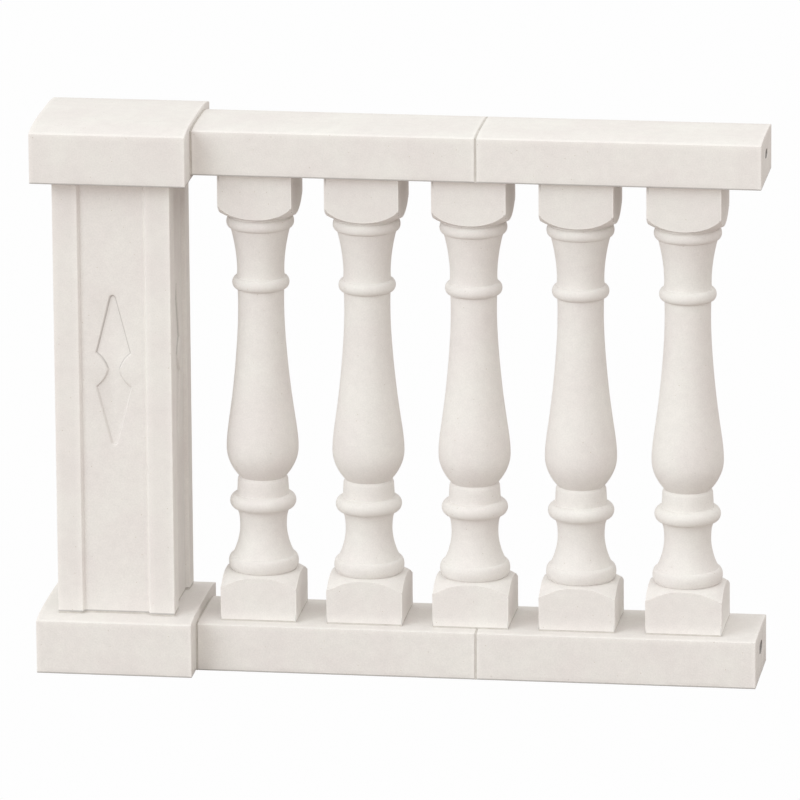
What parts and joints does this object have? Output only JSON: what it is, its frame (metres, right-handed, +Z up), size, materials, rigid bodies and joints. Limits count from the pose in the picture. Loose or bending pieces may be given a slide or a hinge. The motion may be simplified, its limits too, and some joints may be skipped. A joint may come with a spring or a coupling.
{
  "type": "stone balustrade",
  "caption": "Cast stone balustrade bay: turned balusters stand on a low plinth under a crowned coping, ending in a square panelled pier with a base and cap.",
  "frame": {"origin": "centre of the overall box at floor level, under the run of balusters", "axes": "+X along the rail from the pier towards the free end, +Y towards the back, +Z up"},
  "size_m": [1.276, 0.277, 0.988],
  "materials": {
    "cast_stone": "fine sandy matt",
    "mortar": "raked matt"
  },
  "bodies": {
    "root": {"pier_base": "cast_stone", "pier_foot_bed": "mortar", "pier_shaft": "cast_stone", "pier_head_bed": "mortar", "pier_cap": "cast_stone", "plinth_pier_joint": "mortar", "plinth_near_pier": "cast_stone", "plinth_mid_joint": "mortar", "plinth_free_end": "cast_stone", "baluster_1_foot_bed": "mortar", "baluster_1": "cast_stone", "baluster_1_head_bed": "mortar", "baluster_2_foot_bed": "mortar", "baluster_2": "cast_stone", "baluster_2_head_bed": "mortar", "baluster_3_foot_bed": "mortar", "baluster_3": "cast_stone", "baluster_3_head_bed": "mortar", "baluster_4_foot_bed": "mortar", "baluster_4": "cast_stone", "baluster_4_head_bed": "mortar", "baluster_5_foot_bed": "mortar", "baluster_5": "cast_stone", "baluster_5_head_bed": "mortar", "coping_pier_joint": "mortar", "coping_near_pier": "cast_stone", "coping_mid_joint": "mortar", "coping_free_end": "cast_stone"}
  },
  "joints": []
}
